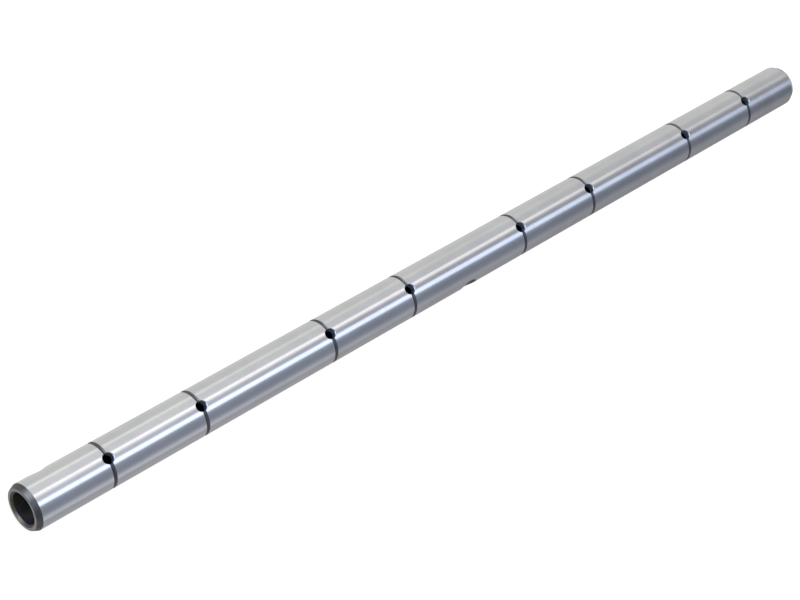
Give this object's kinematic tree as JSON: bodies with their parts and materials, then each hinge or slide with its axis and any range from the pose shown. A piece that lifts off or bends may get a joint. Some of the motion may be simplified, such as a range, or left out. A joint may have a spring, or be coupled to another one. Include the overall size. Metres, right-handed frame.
{
  "type": "rocker shaft",
  "caption": "Hollow ground steel rocker shaft: round tube with oil grooves, an oil hole in each, a side feed hole and a locating hole near one end.",
  "frame": {"origin": "on the shaft's axis at mid-length, which is also the station of the oil feed hole", "axes": "+X along the axis, from the front end with the locating hole to the rear end; +Z through the row of oil holes, which lies uppermost at rest; the locating hole is in the +Y wall and the feed hole in the -Y wall"},
  "size_m": [0.4436, 0.019, 0.019],
  "materials": {
    "ground_steel": "ground outside diameter, dark heat-treated recesses"
  },
  "bodies": {
    "root": {"rocker_shaft": "ground_steel"}
  },
  "joints": []
}
